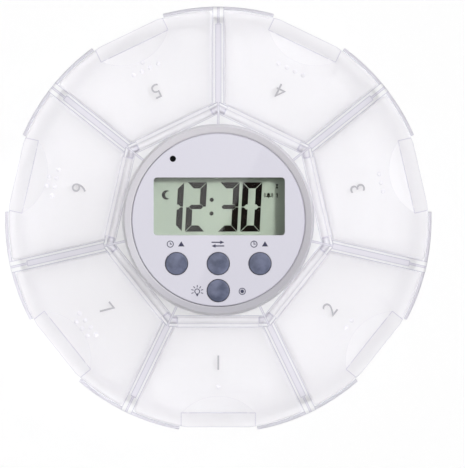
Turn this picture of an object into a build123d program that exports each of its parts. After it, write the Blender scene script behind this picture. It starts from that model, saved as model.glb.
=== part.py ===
from build123d import *
import os
from math import asin, cos, degrees, radians, sin, sqrt, tan

# Round seven-day pill box with a lift-out alarm timer.
# Millimetres, +Z up, the origin on the axis at the level of the foot.

# Layout: equal compartments, counted anticlockwise from the front one
compartment_count = 7
front_angle = 270.0
half_pitch = 180.0 / compartment_count

# Tray: overall sizes
rim_radius = 64.0
rim_projection = 3.0
deck_height = 26.0
foot_height = 1.0
floor_thickness = 1.6
outer_wall = 1.6
pocket_draft = 2.0
pocket_corner_radius = 3.5
pocket_floor_radius = 2.4
base_edge_radius = 3.0
rim_depth = 3.4
rim_edge = 0.4
lip_thickness = 0.8
lip_drop = 0.4
foot_ring_radius = 42.4
foot_ring_width = 1.6

# Tray: dividers, with a grooved deck on top and a hollow underneath
deck_width = 3.3
ledge_width = 1.0
divider_wall = 1.3
divider_top = 1.9
groove_width = 1.6
groove_depth = 0.8
groove_end_wall = 0.6
parting_width = 0.5
parting_depth = 0.4

# Tray: thumb notch in the rim
notch_half_width = 11.4
notch_flare = 0.8
notch_depth = 2.6

# Lids
lid_depth = 1.9
lid_plate = 1.2
lid_gap = 0.25
lid_seat_gap = 0.1
lid_skirt = 1.0
lid_edge_radius = 0.6
lid_corner_radius = 1.0
tab_inset = 1.8
tab_ledge_width = 4.3
tab_ledge_drop = 0.35
scoop_setback = 9.3
scoop_length = 22.0
scoop_depth = 1.1
scoop_boss_depth = 0.7
scoop_boss_margin = 1.3

# Hinges at the inner edge of each lid
hinge_setback = 1.3
hinge_end_room = 2.3
barrel_radius = 1.05
barrel_rise = 0.1
barrel_gap = 0.3
knuckle_end_gap = 0.2
trunnion_radius = 0.6
trunnion_length = 1.2
trunnion_clearance = 0.05
trunnion_end_gap = 0.2
neck_gap = 1.05
neck_drop = 0.6
neck_thickness = 1.2

# Well in the hub, with a ledge that the timer rests on
well_clearance = 0.3
well_wall = 1.25
well_ledge_width = 3.2
well_ledge_height = 4.0
well_ledge_thickness = 1.5
hub_wall = 1.3
hub_top = 2.0

# Timer case with its bezel ring
bezel_radius = 28.8
bezel_height = 3.4
bezel_edge = 0.6
bezel_shoulder = 0.8
bezel_overhang = 1.9
bezel_width = 2.75
bezel_lip = 0.3
bezel_lip_drop = 0.5
can_wall = 1.4
case_top = 1.5
face_seat = 1.0
boss_radius = 2.3
boss_step_radius = 2.9
boss_inset = 3.6
boss_angles = (65.2, -29.2, 209.2)

# Face plate, window and display
face_gap = 0.2
face_thickness = 1.5
face_edge = 0.25
window_corner = 1.0
window_x = 0.3
window_face_gap = 2.2
window_side_gap = 1.33
window_boss_gap = 2.43
pane_margin = 0.8
pane_thickness = 1.0
pane_gap = 0.1
shelf_step = 0.6
display_margin = 0.7
display_thickness = 2.0
display_gap = 0.2
holder_wall = 1.0
holder_gap = 0.15
strip_width = 2.0
strip_inset = 1.4

# Buttons
button_radius = 3.3
button_proud = 0.6
button_edge = 0.3
button_dome = 0.35
button_flange_radius = 3.8
button_flange = 0.9
button_stop_gap = 0.1
button_travel = 0.5
button_guide_clearance = 0.08
button_face_clearance = 0.2
key_face_gap = 4.65
key_pitch = 8.1
key_boss_gap = 0.35
key_rest_gap = 0.1
key_dome_radius = 3.4
key_dome_top_radius = 2.5
keypad_sheet = 1.0
keypad_margin = 0.5

# Circuit board, microphone and speaker
board_edge_gap = 0.5
board_thickness = 1.2
board_depth = 4.3
board_hole_gap = 0.15
mic_inset = 2.7
mic_angle = 126.6
mic_hole_radius = 0.93
mic_port_radius = 0.6
mic_radius = 2.0
mic_height = 1.8
speaker_angle = 113.7
speaker_wall_gap = 3.3
speaker_bay_gap = 0.8
speaker_height = 4.0
speaker_magnet_share = 0.53
speaker_magnet_height = 1.4
sound_hole_radius = 0.8
sound_pitch_share = 0.306
sound_hole_rings = 2

# Back cover and its screws
cover_thickness = 2.0
spigot_wall = 1.2
spigot_height = 2.0
spigot_gap = 0.1
post_radius = 3.4
post_gap = 0.2
screw_radius = 1.0
screw_head_radius = 1.9
screw_head_height = 0.9
screw_sink = 1.0
screw_length = 9.0
screw_fit = 0.05
screw_hole_clearance = 0.25
screw_head_clearance = 0.2
screw_slot_width = 0.5
screw_slot_depth = 0.4

# Coin cell, its bay, contacts and bayonet cover
bay_wall_gap = 2.6
cell_radius = 10.0
cell_height = 3.2
cell_rim = 0.4
bay_radius = 12.2
bay_wall = 1.2
bay_ceiling = 1.1
bay_headroom = 0.6
bay_rib_width = 1.2
bay_rib_gap = 0.2
contact_thickness = 0.3
contact_width = 4.0
contact_length = 14.0
contact_dimple_radius = 1.2
plus_contact_angle = 50.0
door_radius = 12.0
door_thickness = 1.1
door_recess_gap = 0.2
door_boss_radius = 10.92
door_boss_height = 1.1
door_fit = 0.08
collar_gap = 0.3
lug_count = 3
lug_reach = 0.9
lug_angle = 18.0
lug_height = 0.8
lug_gap = 0.1
lug_notch_gap = 0.2
lug_notch_angle = 22.0
door_turn = 45.0
coin_slot_length = 14.0
coin_slot_width = 2.2
coin_slot_depth = 0.7

# How far every cut runs past the surface that it breaks
overrun = 1.0

# Levels
floor_top = foot_height + floor_thickness
seat_level = deck_height - lid_depth - lid_seat_gap
lid_bottom = deck_height - lid_depth
lip_level = deck_height - lip_drop
rim_bottom = deck_height - rim_depth
hinge_level = deck_height + barrel_rise - barrel_radius
channel_level = hinge_level - barrel_radius - barrel_gap
well_floor = foot_height + well_ledge_height + well_ledge_thickness
cover_inside = well_floor + cover_thickness
bezel_top = deck_height + bezel_height
face_bottom = deck_height + face_seat
face_top = face_bottom + face_thickness
case_inside = face_bottom - case_top
display_top = case_inside - display_gap
display_bottom = display_top - display_thickness
board_top = case_inside - board_depth
board_bottom = board_top - board_thickness
flange_top = case_inside - button_stop_gap
flange_bottom = flange_top - button_flange

# Plan of the tray and lids
wall_radius = rim_radius - rim_projection
pocket_radius = wall_radius - outer_wall
notch_apothem = rim_radius - notch_depth
lid_tab_apothem = rim_radius - tab_inset
ledge_apothem = lid_tab_apothem - tab_ledge_width
scoop_inner_apothem = lid_tab_apothem - scoop_setback
hinge_apothem = bezel_radius + hinge_setback
barrel_half_length = hinge_apothem * tan(radians(half_pitch)) - hinge_end_room
ledge_offset = deck_width / 2 + lid_gap + ledge_width
slot_half_width = ledge_offset - divider_wall
lip_inner_radius = rim_radius - lip_thickness
channel_inner = hinge_apothem - barrel_radius - barrel_gap
lid_inner = hinge_apothem + barrel_radius + neck_gap
recess_inner = lid_inner - lid_gap
pocket_inner = lid_inner + lid_skirt + lid_gap
hub_reach = recess_inner / cos(radians(half_pitch)) + overrun
compartment_angles = [front_angle + 2 * half_pitch * i for i in range(compartment_count)]
divider_angles = [angle + half_pitch for angle in compartment_angles]

# Plan of the timer, from the bezel inwards
bezel_crest_radius = bezel_radius - bezel_shoulder
face_radius = bezel_radius - bezel_width - face_gap
can_radius = bezel_radius - bezel_overhang
can_inside = can_radius - can_wall
board_radius = can_inside - board_edge_gap
well_radius = can_radius + well_clearance
well_outer_radius = well_radius + well_wall

# Places of the bosses and keys: the row of keys keeps clear of the lower bosses
boss_circle = can_inside - boss_inset
boss_places = [(boss_circle * cos(radians(a)), boss_circle * sin(radians(a))) for a in boss_angles]
upper_boss_y = boss_places[0][1]
side_boss_x, side_boss_y = boss_places[1]
record_key_y = key_face_gap - face_radius
key_row_y = record_key_y + key_pitch
key_boss_distance = boss_step_radius + button_flange_radius + key_boss_gap
key_row_x = side_boss_x - sqrt(key_boss_distance**2 - (side_boss_y - key_row_y) ** 2)
key_places = {
    "hour_button": (-key_row_x, key_row_y),
    "mode_button": (0, key_row_y),
    "minute_button": (key_row_x, key_row_y),
    "record_button": (0, record_key_y),
}

# The window fills the face between the lower bosses, the upper boss and the bezel
holder_margin = display_margin + holder_gap + holder_wall
window_top = upper_boss_y - boss_step_radius - window_boss_gap - holder_margin
window_bottom = side_boss_y + boss_step_radius + window_side_gap + holder_margin
window_height = window_top - window_bottom
window_y = (window_top + window_bottom) / 2
window_width = 2 * (sqrt((face_radius - window_face_gap) ** 2 - window_top**2) - window_x)

# Places of the microphone, the coin cell's bay and the speaker, which touches neither bay nor wall
mic_x = (can_inside - mic_inset) * cos(radians(mic_angle))
mic_y = (can_inside - mic_inset) * sin(radians(mic_angle))
bay_reach = bay_radius + bay_wall
bay_y = bay_reach + bay_wall_gap - can_inside
speaker_room = can_inside - speaker_wall_gap
speaker_keep = bay_reach + speaker_bay_gap
speaker_slant = bay_y * sin(radians(speaker_angle))
speaker_radius = (speaker_room**2 - 2 * speaker_room * speaker_slant + bay_y**2 - speaker_keep**2) / (
    2 * (speaker_keep + speaker_room - speaker_slant)
)
speaker_x = (speaker_room - speaker_radius) * cos(radians(speaker_angle))
speaker_y = (speaker_room - speaker_radius) * sin(radians(speaker_angle))
speaker_magnet_radius = speaker_radius * speaker_magnet_share
sound_hole_pitch = speaker_radius * sound_pitch_share


def turned(shape, angle):
    """The shape turned about the box's axis."""
    return Rot(0, 0, angle) * shape


def disc(radius, bottom, top, x=0, y=0):
    """An upright cylinder between two levels."""
    return Pos(x, y, bottom) * extrude(Circle(radius), top - bottom)


def block(x1, x2, y1, y2, bottom, top):
    """A box given by its limits."""
    return Pos((x1 + x2) / 2, (y1 + y2) / 2, (bottom + top) / 2) * Box(x2 - x1, y2 - y1, top - bottom)


def sector(inner, outer_radius, side_offset):
    """The plan between two dividers, about +X, up to a circle and off the dividers by side_offset."""
    apex = side_offset / sin(radians(half_pitch))
    slope = tan(radians(half_pitch))
    far = outer_radius + overrun
    near_half = (inner - apex) * slope
    far_half = (far - apex) * slope
    outline = Polyline((inner, near_half), (inner, -near_half), (far, -far_half), (far, far_half), close=True)
    return make_face(outline) & Circle(outer_radius)


def prism(face, bottom, top):
    """A plan face raised between two levels."""
    return Pos(0, 0, bottom) * extrude(face, top - bottom)


def along_hinge(radius, start, end):
    """A cylinder on the hinge axis of the compartment about +X."""
    return Pos(hinge_apothem, start, hinge_level) * Rot(-90, 0, 0) * extrude(Circle(radius), end - start)


def each(places, shape):
    """Copies of a shape turned to each angle, as one compound list."""
    return [turned(shape, angle) for angle in places]


def tray_outside():
    """The turned outside of the tray: drafted wall, rounded base edge and projecting rim."""
    wall_bottom = wall_radius - (rim_bottom - foot_height) * tan(radians(pocket_draft))
    outline = Polyline(
        (0, foot_height),
        (wall_bottom, foot_height),
        (wall_radius, rim_bottom),
        (rim_radius - rim_edge, rim_bottom),
        (rim_radius, rim_bottom + rim_edge),
        (rim_radius, deck_height),
        (0, deck_height),
        close=True,
    )
    face = make_face(outline)
    corner = face.vertices().sort_by_distance((wall_bottom, foot_height))[0]
    return revolve(Plane.XZ * fillet(corner, base_edge_radius), Axis.Z)


def pocket():
    """One compartment: drafted walls, rounded corners and a rounded floor edge."""
    plan = sector(pocket_inner, pocket_radius, ledge_offset)
    plan = fillet(plan.vertices(), pocket_corner_radius)
    tool = extrude(Pos(0, 0, seat_level) * plan, seat_level - floor_top, dir=(0, 0, -1), taper=pocket_draft)
    floor_edges = tool.faces().sort_by(Axis.Z)[0].edges()
    return fillet(floor_edges, pocket_floor_radius) + prism(plan, seat_level, deck_height + overrun)


def lid_recess():
    """The space that a lid and its hinge barrel lie in."""
    side = deck_width / 2
    above = deck_height + overrun
    panel = prism(sector(recess_inner, lip_inner_radius, side), seat_level, above)
    lip = prism(sector(recess_inner, rim_radius + overrun, side), lip_level, above)
    channel = prism(sector(channel_inner, hub_reach, parting_width / 2), channel_level, above)
    channel &= block(channel_inner, recess_inner, -hinge_apothem, hinge_apothem, channel_level, above)
    return panel + lip + channel


def thumb_notch():
    """The notch through the rim under a lid's tab, and the lip taken off above it."""
    far = rim_radius + overrun
    flare = notch_half_width + notch_flare * (far - notch_apothem) / (rim_radius - notch_apothem)
    outline = Polyline(
        (notch_apothem, notch_half_width),
        (notch_apothem, -notch_half_width),
        (far, -flare),
        (far, flare),
        close=True,
    )
    notch = prism(make_face(outline), rim_bottom - overrun, deck_height + overrun)
    lip_cut = block(
        pocket_radius, far, -notch_half_width, notch_half_width, seat_level, deck_height + overrun
    )
    return notch + lip_cut


def knuckles():
    """The pair of hinge knuckles at the ends of one side of the hub, with their blind bores."""
    start = barrel_half_length + knuckle_end_gap
    reach = hinge_apothem
    room = prism(sector(channel_inner, hub_reach, parting_width / 2), channel_level, deck_height + overrun)
    bore_depth = knuckle_end_gap + trunnion_length + trunnion_end_gap
    pair = []
    for side in (1, -1):
        low, high = sorted((side * start, side * reach))
        round_top = along_hinge(barrel_radius, low, high)
        inner_side = hinge_apothem - barrel_radius
        outer_side = hinge_apothem + barrel_radius
        foot = block(inner_side, outer_side, low, high, channel_level, hinge_level)
        bore_low, bore_high = sorted((side * (start - overrun), side * (barrel_half_length + bore_depth)))
        bore = along_hinge(trunnion_radius + trunnion_clearance, bore_low, bore_high)
        pair.append(((round_top + foot) & room) - bore)
    return pair


def divider_cuts():
    """The groove in a divider's deck, the fine parting line along it and the hollow under it."""
    above = deck_height + overrun
    groove_start = hinge_apothem / cos(radians(half_pitch)) + barrel_radius
    groove_end = pocket_radius - groove_end_wall
    half = groove_width / 2
    groove = block(groove_start + half, groove_end, -half, half, deck_height - groove_depth, above)
    groove += disc(half, deck_height - groove_depth, above, groove_start + half)
    parting = block(
        well_radius,
        rim_radius + overrun,
        -parting_width / 2,
        parting_width / 2,
        deck_height - parting_depth,
        above,
    )
    hollow = block(
        well_outer_radius,
        pocket_radius,
        -slot_half_width,
        slot_half_width,
        foot_height - overrun,
        seat_level - divider_top,
    )
    return groove + parting, hollow


def hub_hollow():
    """The ring-shaped hollow under the hub, between the well's tube and the compartments."""
    apothem = pocket_inner - hub_wall
    side = RegularPolygon(apothem, compartment_count, major_radius=False, rotation=front_angle + half_pitch)
    return prism(side - Circle(well_outer_radius), foot_height - overrun, channel_level - hub_top)


def well_cut():
    """The well for the timer, open underneath inside its ledge."""
    ledge_bottom = foot_height + well_ledge_height
    upper = disc(well_radius, well_floor, deck_height + overrun)
    middle = disc(well_radius - well_ledge_width, foot_height - overrun, well_floor + overrun)
    lower = disc(well_radius, foot_height - overrun, ledge_bottom)
    return upper + middle + lower


def make_tray():
    """The tray, one moulding with its compartments, dividers, hub, rim and foot ring."""
    body = tray_outside()
    body -= each(compartment_angles, pocket())
    body -= each(compartment_angles, lid_recess())
    body -= each(compartment_angles, thumb_notch())
    for knuckle in knuckles():
        body += each(compartment_angles, knuckle)
    groove, hollow = divider_cuts()
    body -= hub_hollow()
    body -= each(divider_angles, groove)
    body -= each(divider_angles, hollow)
    ring = disc(foot_ring_radius + foot_ring_width / 2, 0, foot_height + floor_thickness / 2)
    ring -= disc(foot_ring_radius - foot_ring_width / 2, -overrun, floor_top)
    slots = each(divider_angles, hollow)
    body += ring - slots - [Pos(0, 0, -foot_height) * slot for slot in slots]
    return body - well_cut()


def scoop_cutter():
    """The thumb scoop: a shallow hollow with a round edge, cut off straight at the tab's ledge."""
    half_length = scoop_length / 2
    reach = ledge_apothem - scoop_inner_apothem
    edge_radius = (half_length**2 + reach**2) / (2 * reach)
    offset = edge_radius - reach
    rise = (edge_radius**2 - offset**2 - scoop_depth**2) / (2 * scoop_depth)
    ball = Sphere(sqrt(edge_radius**2 + rise**2))
    ball = Pos(ledge_apothem + offset, 0, deck_height + rise) * ball
    near = scoop_inner_apothem - overrun
    side = half_length + overrun
    room = block(near, ledge_apothem, -side, side, deck_height - 2 * scoop_depth, deck_height + overrun)
    return ball & room


def lid_panel():
    """The lid's panel: flat top with rounded edges and a skirt round the underside."""
    side = deck_width / 2 + lid_gap
    plan = sector(lid_inner, lip_inner_radius - barrel_gap, side)
    outer_corners = plan.vertices().sort_by(Axis.X)[-2:]
    plan = fillet(outer_corners, lid_corner_radius)
    plan -= Pos(lid_tab_apothem + rim_radius / 2, 0) * Rectangle(rim_radius, 2 * (notch_half_width - lid_gap))
    panel = prism(plan, lid_bottom, deck_height)
    top_edges = panel.faces().sort_by(Axis.Z)[-1].edges()
    panel = fillet(top_edges, lid_edge_radius)
    under = sector(lid_inner + lid_skirt, pocket_radius - lid_gap - lid_skirt / 2, side + lid_skirt)
    under = fillet(under.vertices(), lid_corner_radius)
    return panel - prism(under, lid_bottom - overrun, deck_height - lid_plate)


def make_lid():
    """One lid about +X: panel, thumb scoop and tab, neck, hinge barrel and trunnions."""
    boss_half = scoop_length / 2 + scoop_boss_margin
    boss_start = scoop_inner_apothem - scoop_boss_margin
    boss_strip = Pos(boss_start + rim_radius / 2, 0) * Rectangle(rim_radius, 2 * boss_half)
    boss_plan = Circle(pocket_radius - lid_gap) & boss_strip
    lid = lid_panel() + prism(boss_plan, lid_bottom - scoop_boss_depth, deck_height - lid_plate)
    tab_half = notch_half_width - lid_gap
    ledge_level = deck_height - tab_ledge_drop
    lid -= block(ledge_apothem, rim_radius, -tab_half, tab_half, ledge_level, deck_height + overrun)
    lid -= scoop_cutter()
    neck_top = deck_height - neck_drop
    lid += block(
        hinge_apothem,
        lid_inner + lid_skirt / 2,
        -barrel_half_length,
        barrel_half_length,
        neck_top - neck_thickness,
        neck_top,
    )
    lid += along_hinge(barrel_radius, -barrel_half_length, barrel_half_length)
    reach = barrel_half_length + knuckle_end_gap + trunnion_length
    return lid + along_hinge(trunnion_radius, -reach, reach)


def bezel_outline():
    """Half section of the timer case: bezel ring, can wall and the wall under the face plate."""
    shoulder = deck_height + bezel_edge
    lip_top = bezel_top - bezel_lip_drop
    recess = face_radius + face_gap
    outside = TangentArc((bezel_radius, shoulder), (bezel_crest_radius, bezel_top), tangent=(0, 1))
    rest = Polyline(
        (bezel_crest_radius, bezel_top),
        (recess + bezel_lip, lip_top),
        (recess, lip_top - bezel_lip),
        (recess, face_bottom),
        (0, face_bottom),
        (0, case_inside),
        (can_inside, case_inside),
        (can_inside, cover_inside),
        (can_radius, cover_inside),
        (can_radius, deck_height),
        (bezel_radius, deck_height),
        (bezel_radius, shoulder),
    )
    return make_face([outside, rest])


def window_prism(margin, bottom, top):
    """A rounded rectangle as large as the display window and a margin all round."""
    plan = RectangleRounded(window_width + 2 * margin, window_height + 2 * margin, window_corner)
    return prism(Pos(window_x, window_y) * plan, bottom, top)


def make_timer_case():
    """The timer's upper case: bezel ring, can, seats for pane and face plate, and screw bosses."""
    case = revolve(Plane.XZ * bezel_outline(), Axis.Z)
    bosses = []
    for x, y in boss_places:
        boss = disc(boss_step_radius, board_top, case_inside + case_top / 2, x, y)
        boss += disc(boss_radius, cover_inside, board_top, x, y)
        bosses.append(boss)
    case += bosses
    for x, y in boss_places:
        case -= disc(screw_radius + screw_fit, cover_inside - overrun, board_top, x, y)
    case -= window_prism(pane_margin + pane_gap, face_bottom - pane_thickness, face_bottom + overrun)
    case -= window_prism(pane_margin - shelf_step, case_inside - overrun, face_bottom)
    guide_radius = button_radius + button_guide_clearance
    for x, y in key_places.values():
        case -= disc(guide_radius, case_inside - overrun, face_bottom + overrun, x, y)
    return case - disc(mic_port_radius, case_inside - overrun, face_bottom + overrun, mic_x, mic_y)


def make_face_plate():
    """The glossy disc in the bezel, with its window and the holes for buttons and microphone."""
    plate = disc(face_radius, face_bottom, face_top)
    plate = chamfer(plate.faces().sort_by(Axis.Z)[-1].edges(), face_edge)
    plate -= window_prism(0, face_bottom - overrun, face_top + overrun)
    for x, y in key_places.values():
        plate -= disc(button_radius + button_face_clearance, face_bottom - overrun, face_top + overrun, x, y)
    return plate - disc(mic_hole_radius, face_bottom - overrun, face_top + overrun, mic_x, mic_y)


def make_display_window():
    """The clear pane under the face plate."""
    return window_prism(pane_margin, face_bottom - pane_thickness, face_bottom)


def display_half():
    """Half width and half depth of the display glass."""
    return window_width / 2 + display_margin, window_height / 2 + display_margin


def make_display():
    """The liquid crystal display, a glass sandwich whose lower sheet is wider at the contacts."""
    half_x, half_y = display_half()
    step = display_thickness / 2
    lower = block(-half_x, half_x, -half_y, half_y, display_bottom, display_bottom + step)
    inset = half_y - strip_inset / 2
    upper = block(-half_x, half_x, -inset, inset, display_bottom + step, display_top)
    return Pos(window_x, window_y) * (lower + upper)


def make_display_holder():
    """The frame that stands on the board round the display, trimmed to the round case."""
    half_x, half_y = display_half()
    inner_x = half_x + holder_gap
    inner_y = half_y + holder_gap
    outer_x = inner_x + holder_wall
    outer_y = inner_y + holder_wall
    frame = block(-outer_x, outer_x, -outer_y, outer_y, board_top, display_top)
    frame -= block(-inner_x, inner_x, -inner_y, inner_y, board_top - overrun, display_top + overrun)
    room = disc(can_inside - spigot_gap, board_top - overrun, display_top + overrun)
    return (Pos(window_x, window_y) * frame) & room


def make_contact_strips():
    """The two elastomer strips that join the display to the board."""
    half_x, half_y = display_half()
    length = half_x - strip_inset
    strips = []
    for side in (1, -1):
        low, high = sorted((side * (half_y - strip_width), side * half_y))
        strip = block(-length, length, low, high, board_top, display_bottom)
        strips.append(Pos(window_x, window_y) * strip)
    return Compound(children=strips)


def make_circuit_board():
    """The round board, pierced for the case's bosses."""
    board = disc(board_radius, board_bottom, board_top)
    for x, y in boss_places:
        board -= disc(boss_radius + board_hole_gap, board_bottom - overrun, board_top + overrun, x, y)
    return board


def make_keypad():
    """The rubber sheet on the board, with a dome under each button."""
    margin = key_dome_radius + keypad_margin
    sheet_top = board_top + keypad_sheet
    row_half = key_row_x + margin
    row = block(-row_half, row_half, key_row_y - margin, key_row_y + margin, board_top, sheet_top)
    tongue = block(-margin, margin, record_key_y - margin, key_row_y, board_top, sheet_top)
    sheet = (row + tongue) & disc(board_radius - keypad_margin, board_top, sheet_top)
    dome_height = flange_bottom - button_travel - key_rest_gap - sheet_top
    dome = Cone(key_dome_radius, key_dome_top_radius, dome_height)
    for x, y in key_places.values():
        sheet += Pos(x, y, sheet_top + dome_height / 2) * dome
    for x, y in boss_places:
        sheet -= disc(boss_step_radius + holder_gap, board_top, sheet_top, x, y)
    return sheet


def make_button(x, y):
    """A round key: a domed stem with a flange that stops it under the case."""
    top = face_top + button_proud
    shoulder = top - button_dome
    dome_radius = (button_radius**2 + button_dome**2) / (2 * button_dome)
    half_angle = asin(button_radius / dome_radius) / 2
    middle = (dome_radius * sin(half_angle), top - dome_radius * (1 - cos(half_angle)))
    stem = Polyline((0, top), (0, flange_bottom), (button_radius, flange_bottom), (button_radius, shoulder))
    dome = ThreePointArc((button_radius, shoulder), middle, (0, top))
    section = make_face([stem, dome])
    rim = section.vertices().sort_by_distance((button_radius, shoulder))[0]
    cap = revolve(Plane.XZ * fillet(rim, button_edge), Axis.Z)
    return Pos(x, y) * cap + disc(button_flange_radius, flange_bottom, flange_top, x, y)


def make_microphone():
    """The microphone capsule under its port."""
    return disc(mic_radius, case_inside - mic_height, case_inside, mic_x, mic_y)


def make_speaker():
    """The speaker on the back cover: basket, with the magnet on its inner side."""
    top = cover_inside + speaker_height
    basket = disc(speaker_radius, cover_inside, top, speaker_x, speaker_y)
    basket = chamfer(basket.faces().sort_by(Axis.Z)[-1].edges(), speaker_height / 4)
    return basket + disc(speaker_magnet_radius, top, top + speaker_magnet_height, speaker_x, speaker_y)


def sound_holes():
    """The holes in front of the speaker, in rings of six and twelve about a middle one."""
    spots = [(speaker_x, speaker_y)]
    for ring in range(1, sound_hole_rings + 1):
        for step in range(6 * ring):
            angle = radians(360 * step / (6 * ring))
            radius = ring * sound_hole_pitch
            spots.append((speaker_x + radius * cos(angle), speaker_y + radius * sin(angle)))
    return [disc(sound_hole_radius, well_floor - overrun, cover_inside + overrun, x, y) for x, y in spots]


def ring_piece(inner, outer, middle_angle, width_angle, bottom, top):
    """A stretch of a ring about the coin cell's axis."""
    half = width_angle / 2
    far = outer / cos(radians(half)) + overrun
    wedge = make_face(
        Polyline(
            (0, 0),
            (far * cos(radians(middle_angle - half)), far * sin(radians(middle_angle - half))),
            (far * cos(radians(middle_angle + half)), far * sin(radians(middle_angle + half))),
            close=True,
        )
    )
    return Pos(0, bay_y) * prism((Circle(outer) - Circle(inner)) & wedge, bottom, top)


def lug_angles(turn):
    """The directions of the bayonet lugs, turned from their locked place."""
    return [360.0 / lug_count * i + turn for i in range(lug_count)]


def make_back_cover():
    """The back cover: spigot, posts for the board, battery bay, sound holes and screw holes."""
    recess_radius = door_radius + door_recess_gap
    bay_top = cell_top() + bay_headroom
    cover = disc(can_radius, well_floor, cover_inside)
    spigot = disc(can_inside - spigot_gap, cover_inside, cover_inside + spigot_height)
    cover += spigot - disc(can_inside - spigot_gap - spigot_wall, cover_inside, cover_inside + spigot_height)
    cover += disc(bay_radius + bay_wall, cover_inside, bay_top + bay_ceiling, 0, bay_y)
    for x, y in boss_places:
        cover += disc(post_radius, cover_inside, board_bottom, x, y)
    sink_radius = screw_head_radius + screw_head_clearance
    for x, y in boss_places:
        cover -= disc(boss_radius + post_gap, cover_inside, board_bottom + overrun, x, y)
        cover -= disc(screw_radius + screw_hole_clearance, well_floor - overrun, board_bottom, x, y)
        cover -= disc(sink_radius, well_floor - overrun, well_floor + screw_sink, x, y)
    cover -= disc(bay_radius, cover_inside, bay_top, 0, bay_y)
    rib_angle = degrees(bay_rib_width / cell_radius)
    rib_bottom = door_lug_top() + lug_gap
    rib_inner = cell_radius + bay_rib_gap
    for angle in lug_angles(0):
        cover += ring_piece(rib_inner, bay_radius + bay_wall / 2, angle, rib_angle, rib_bottom, bay_top)
    cover -= disc(recess_radius, well_floor - overrun, well_floor + door_thickness + lug_gap, 0, bay_y)
    cover -= disc(door_boss_radius + door_fit, well_floor, cover_inside + overrun / 2, 0, bay_y)
    notch_reach = door_boss_radius + lug_reach + lug_notch_gap
    notch_top = cover_inside + lug_gap
    for angle in lug_angles(door_turn):
        cover -= ring_piece(cell_radius, notch_reach, angle, lug_notch_angle, well_floor, notch_top)
    cover -= sound_holes()
    return cover


def door_boss_top():
    """Level of the battery cover's inner face."""
    return well_floor + door_thickness + door_boss_height


def door_lug_top():
    """Level of the top of the bayonet lugs."""
    return cover_inside + lug_gap + lug_height


def cell_bottom():
    """Level of the coin cell's underside."""
    return door_boss_top() + lug_gap


def cell_top():
    """Level of the coin cell's upper side."""
    return cell_bottom() + cell_height


def make_battery_cover():
    """The coin-turn cover: flange, boss, collar with bayonet lugs, and the slot for a coin."""
    door = disc(door_radius, well_floor, well_floor + door_thickness, 0, bay_y)
    door += disc(door_boss_radius, well_floor, door_lug_top(), 0, bay_y)
    door -= disc(cell_radius + collar_gap, door_boss_top(), door_lug_top() + overrun, 0, bay_y)
    for angle in lug_angles(0):
        inner = (door_boss_radius + cell_radius + collar_gap) / 2
        outer = door_boss_radius + lug_reach
        door += ring_piece(inner, outer, angle, lug_angle, cover_inside + lug_gap, door_lug_top())
    half = coin_slot_length / 2
    side = coin_slot_width / 2
    slot_top = well_floor + coin_slot_depth
    slot = block(-half, half, bay_y - side, bay_y + side, well_floor - overrun, slot_top)
    return door - slot


def make_coin_cell():
    """The coin cell: a can with a slightly smaller raised negative side."""
    step = cell_height / 4
    cell = disc(cell_radius, cell_bottom(), cell_top() - step, 0, bay_y)
    cell = fillet(cell.faces().sort_by(Axis.Z)[0].edges(), cell_rim)
    return cell + disc(cell_radius - 2 * cell_rim, cell_top() - step, cell_top(), 0, bay_y)


def make_minus_contact():
    """The leaf on the bay's ceiling, with a dimple that touches the cell."""
    ceiling = cell_top() + bay_headroom
    half_y = contact_length / 2
    half_x = contact_width / 2
    leaf = block(-half_x, half_x, bay_y - half_y, bay_y + half_y, ceiling - contact_thickness, ceiling)
    drop = bay_headroom - contact_thickness
    dimple = Cone(contact_dimple_radius / 2, contact_dimple_radius, drop)
    return leaf + Pos(0, bay_y, cell_top() + drop / 2) * dimple


def make_plus_contact():
    """The curved strip at the cell's side, with its foot on the wall of the bay."""
    bottom = door_lug_top() + lug_gap
    top = cell_top() + bay_headroom
    outer = cell_radius + bay_rib_gap + contact_thickness
    middle = 180.0 / lug_count
    strip = ring_piece(cell_radius + bay_rib_gap / 2, outer, middle, plus_contact_angle, bottom, cell_top())
    foot = ring_piece(outer - contact_thickness / 2, bay_radius, middle, lug_angle / 3, bottom, top)
    return strip + foot


def make_case_screws():
    """The self-tapping screws from the back cover into the case's bosses."""
    screws = []
    head_top = well_floor + screw_sink
    head_bottom = head_top - screw_head_height
    for x, y in boss_places:
        screw = disc(screw_head_radius, head_bottom, head_top, x, y)
        screw += disc(screw_radius, head_top, head_top + screw_length, x, y)
        slot = Box(2 * screw_head_radius + overrun, screw_slot_width, 2 * screw_slot_depth)
        screws.append(screw - Pos(x, y, head_bottom) * slot)
    return Compound(children=screws)


def all_parts():
    """Every node by its name."""
    parts = {"tray": make_tray()}
    lid = make_lid()
    for number, angle in enumerate(compartment_angles, start=1):
        parts[f"lid_{number}"] = turned(lid, angle)
    parts["timer_case"] = make_timer_case()
    parts["face_plate"] = make_face_plate()
    parts["display_window"] = make_display_window()
    parts["display"] = make_display()
    parts["display_holder"] = make_display_holder()
    parts["contact_strips"] = make_contact_strips()
    parts["circuit_board"] = make_circuit_board()
    parts["keypad"] = make_keypad()
    parts["microphone"] = make_microphone()
    parts["speaker"] = make_speaker()
    for name, (x, y) in key_places.items():
        parts[name] = make_button(x, y)
    parts["back_cover"] = make_back_cover()
    parts["battery_cover"] = make_battery_cover()
    parts["coin_cell"] = make_coin_cell()
    parts["minus_contact"] = make_minus_contact()
    parts["plus_contact"] = make_plus_contact()
    parts["case_screws"] = make_case_screws()
    return parts


os.makedirs("parts", exist_ok=True)
for node, shape in all_parts().items():
    export_step(shape, f"parts/{node}.step")
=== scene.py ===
"""Round seven-day pill box with a lift-out alarm timer, finished for its picture."""
import math

import bpy
from mathutils import Matrix, Vector


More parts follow.
